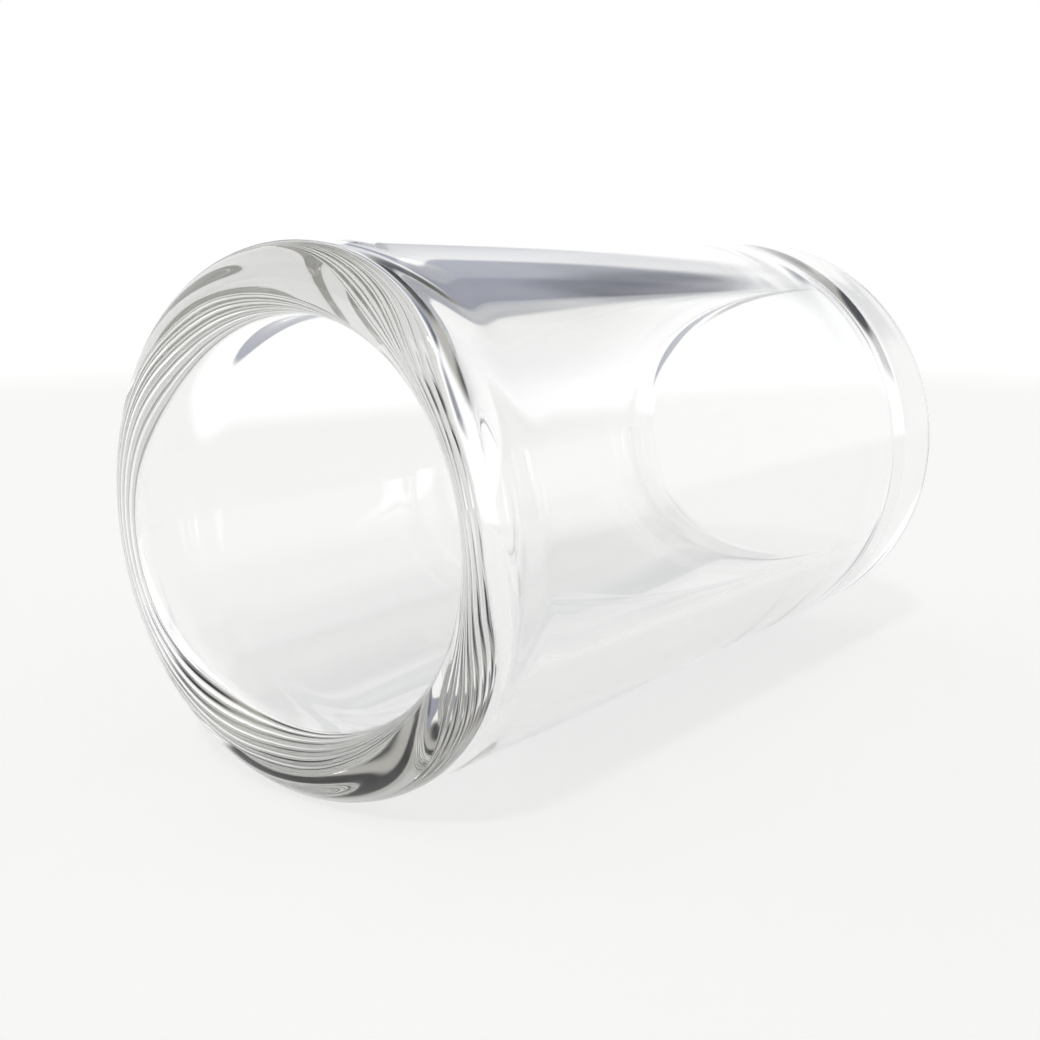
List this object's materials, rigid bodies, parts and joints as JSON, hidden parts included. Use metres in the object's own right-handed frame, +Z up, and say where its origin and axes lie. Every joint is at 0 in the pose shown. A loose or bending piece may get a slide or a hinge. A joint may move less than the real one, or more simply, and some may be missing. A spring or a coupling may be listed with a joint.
{
  "type": "guitar slide",
  "caption": "Clear heavy-walled glass tube worn on one finger to glide along guitar strings, straight-bored, with both ends flame-rounded.",
  "frame": {"origin": "centre of the bore: on its axis, midway between the two lips", "axes": "+X along the bore, towards one lip; +Z up when the slide lies on a table; both ends are alike"},
  "size_m": [0.051, 0.029, 0.029],
  "materials": {
    "clear_glass": "flame-polished, clear, very faintly grey-green through the thickness"
  },
  "bodies": {
    "root": {"glass_tube": "clear_glass"}
  },
  "joints": []
}
